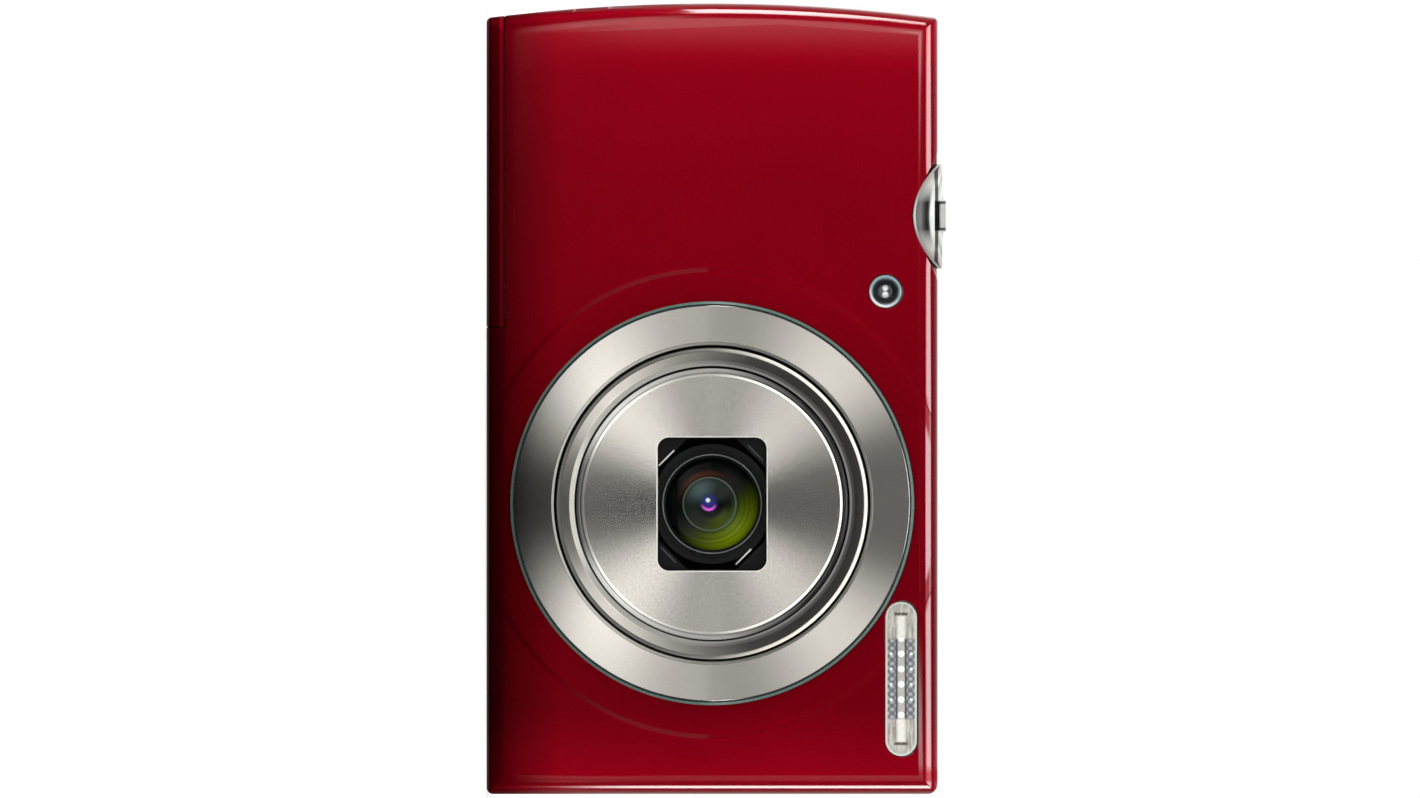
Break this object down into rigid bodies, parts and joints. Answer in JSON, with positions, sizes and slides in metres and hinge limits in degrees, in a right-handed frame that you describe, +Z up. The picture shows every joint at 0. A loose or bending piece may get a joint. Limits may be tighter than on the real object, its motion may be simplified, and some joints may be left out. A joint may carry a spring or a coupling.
{
  "type": "compact digital camera",
  "caption": "Slim compact digital camera, switched on: red two-part casing, telescoping zoom lens with barrier leaves, top controls, rear screen and keys, battery door on the base.",
  "frame": {"origin": "middle of the base, on the plane that the camera stands on, half way along its width and half way through its covers", "axes": "+Z up to the shutter button, -Y out of the lens, +X towards the flash end as seen from the front"},
  "size_m": [0.0952, 0.0405, 0.0553],
  "materials": {
    "red_front": "gloss metallic red",
    "red_rear": "gloss red",
    "satin_silver": "spun satin",
    "barrel_metal": "fine satin",
    "chrome": "polished",
    "key_silver": "satin plated",
    "black_plastic": "fine matte",
    "leaf_black": "satin black",
    "lens_glass": "coated",
    "flash_clear": "ribbed clear",
    "screen_gloss": "polished",
    "screen_dark": "dark",
    "steel": "brushed",
    "reflector": "polished",
    "socket_metal": "plated",
    "board_green": "solder mask",
    "sensor_blue": "coated",
    "capacitor_sleeve": "sleeve",
    "battery_grey": "matte",
    "card_blue": "matte",
    "lock_orange": "matte"
  },
  "bodies": {
    "camera_body": {"front_cover": "red_front", "rear_cover": "red_rear", "lens_bezel": "satin_silver", "focus_lamp_rim": "chrome", "lens_housing": "black_plastic", "battery_box": "black_plastic", "release_switch": "black_plastic", "speaker": "black_plastic", "focus_lamp_lens": "lens_glass", "flash_tube": "lens_glass", "flash_window": "flash_clear", "screen_window": "screen_gloss", "screen_panel": "screen_dark", "main_frame": "steel", "case_screws": "steel", "sensor_plate": "steel", "strap_bar": "steel", "zoom_motor": "steel", "terminal_socket": "steel", "microphone": "steel", "flash_reflector": "reflector", "tripod_socket": "socket_metal", "key_board": "board_green", "main_board": "board_green", "power_switch": "board_green", "image_sensor": "sensor_blue", "flash_capacitor": "capacitor_sleeve", "battery": "battery_grey", "memory_card": "card_blue"},
    "outer_barrel": {"barrel_1": "barrel_metal", "guide_tube": "black_plastic"},
    "inner_barrel": {"barrel_2": "barrel_metal", "lens_face": "satin_silver", "lens_hood": "black_plastic", "front_lens": "lens_glass", "lens_retainer": "black_plastic"},
    "rear_group": {"rear_lens_group": "black_plastic"},
    "cam_ring": {"drive_ring": "black_plastic"},
    "focus": {"focus_lens": "lens_glass"},
    "upper_leaf_in": {"leaf_upper_inner": "leaf_black"},
    "upper_leaf_out": {"leaf_upper_outer": "leaf_black"},
    "lower_leaf_in": {"leaf_lower_inner": "leaf_black"},
    "lower_leaf_out": {"leaf_lower_outer": "leaf_black"},
    "lever": {"zoom_lever": "chrome"},
    "shutter": {"shutter_button": "chrome"},
    "power": {"power_button": "chrome"},
    "movie": {"movie_button": "key_silver"},
    "auto": {"auto_button": "key_silver"},
    "playback": {"playback_button": "key_silver"},
    "menu": {"menu_button": "key_silver"},
    "pad": {"direction_pad": "key_silver"},
    "set": {"set_button": "key_silver"},
    "door_hinge_pin": {"door_pin": "steel"},
    "door": {"battery_door": "red_front"},
    "lock": {"battery_lock": "lock_orange"},
    "terminal_flap": {"terminal_cover": "red_front"}
  },
  "joints": [
    {"name": "zoom_slide", "type": "slide", "parent": "camera_body", "child": "outer_barrel", "axis": [0, -1, 0], "range_m": [-0.0095, 0.002]},
    {"name": "inner_barrel_slide", "type": "slide", "parent": "outer_barrel", "child": "inner_barrel", "axis": [0, -1, 0], "range_m": [-0.0085, 0.00179]},
    {"name": "rear_group_slide", "type": "slide", "parent": "outer_barrel", "child": "rear_group", "axis": [0, -1, 0], "range_m": [-0.0021, 0.00044]},
    {"name": "cam_ring_turn", "type": "hinge", "parent": "camera_body", "child": "cam_ring", "pos_m": [0.01257, 0, 0.02715], "axis": [0, -1, 0], "range_deg": [-100.01, 21.06]},
    {"name": "focus_slide", "type": "slide", "parent": "camera_body", "child": "focus", "axis": [0, -1, 0], "range_m": [0, 0.0005]},
    {"name": "barrier_close", "type": "slide", "parent": "inner_barrel", "child": "upper_leaf_in", "axis": [0, 0, -1], "range_m": [0, 0.00655]},
    {"name": "upper_leaf_follow", "type": "slide", "parent": "inner_barrel", "child": "upper_leaf_out", "axis": [0, 0, -1], "range_m": [0, 0.00328]},
    {"name": "lower_leaf_close", "type": "slide", "parent": "inner_barrel", "child": "lower_leaf_in", "axis": [0, 0, 1], "range_m": [0, 0.00655]},
    {"name": "lower_leaf_follow", "type": "slide", "parent": "inner_barrel", "child": "lower_leaf_out", "axis": [0, 0, 1], "range_m": [0, 0.00328]},
    {"name": "zoom_lever_turn", "type": "hinge", "parent": "camera_body", "child": "lever", "pos_m": [-0.022, -0.0041, 0.054], "axis": [0, 0, 1], "range_deg": [-22, 22], "stiffness_Nm_per_rad": 0.02},
    {"name": "shutter_press", "type": "slide", "parent": "camera_body", "child": "shutter", "axis": [0, 0, -1], "range_m": [0, 0.0006], "stiffness_N_per_m": 600},
    {"name": "power_press", "type": "slide", "parent": "camera_body", "child": "power", "axis": [0, 0, -1], "range_m": [0, 0.0003], "stiffness_N_per_m": 600},
    {"name": "movie_press", "type": "slide", "parent": "camera_body", "child": "movie", "axis": [0, -1, 0], "range_m": [0, 0.00025], "stiffness_N_per_m": 600},
    {"name": "auto_press", "type": "slide", "parent": "camera_body", "child": "auto", "axis": [0, -1, 0], "range_m": [0, 0.00025], "stiffness_N_per_m": 600},
    {"name": "playback_press", "type": "slide", "parent": "camera_body", "child": "playback", "axis": [0, -1, 0], "range_m": [0, 0.00025], "stiffness_N_per_m": 600},
    {"name": "menu_press", "type": "slide", "parent": "camera_body", "child": "menu", "axis": [0, -1, 0], "range_m": [0, 0.00025], "stiffness_N_per_m": 600},
    {"name": "pad_press", "type": "slide", "parent": "camera_body", "child": "pad", "axis": [0, -1, 0], "range_m": [0, 0.00025], "stiffness_N_per_m": 600},
    {"name": "set_press", "type": "slide", "parent": "camera_body", "child": "set", "axis": [0, -1, 0], "range_m": [0, 0.00025], "stiffness_N_per_m": 600},
    {"name": "door_unlatch", "type": "slide", "parent": "camera_body", "child": "door_hinge_pin", "axis": [-1, 0, 0], "range_m": [0, 0.0022]},
    {"name": "door_swing", "type": "hinge", "parent": "door_hinge_pin", "child": "door", "pos_m": [-0.028, 0.0016, 0.00185], "axis": [1, 0, 0], "range_deg": [0, 90]},
    {"name": "battery_lock_slide", "type": "slide", "parent": "camera_body", "child": "lock", "axis": [1, 0, 0], "range_m": [0, 0.002], "stiffness_N_per_m": 150},
    {"name": "terminal_flap_swing", "type": "hinge", "parent": "camera_body", "child": "terminal_flap", "pos_m": [-0.04707, 0.0001, 0.028], "axis": [0, 0, 1], "range_deg": [0, 90]}
  ],
  "couplings": [
    {"joint": "inner_barrel_slide", "follows": "zoom_slide", "ratio": 0.89474},
    {"joint": "rear_group_slide", "follows": "zoom_slide", "ratio": 0.22105},
    {"joint": "cam_ring_turn", "follows": "zoom_slide", "rad_per_m": 183.72},
    {"joint": "upper_leaf_follow", "follows": "barrier_close", "ratio": 0.5},
    {"joint": "lower_leaf_close", "follows": "barrier_close", "ratio": 1},
    {"joint": "lower_leaf_follow", "follows": "barrier_close", "ratio": 0.5}
  ]
}
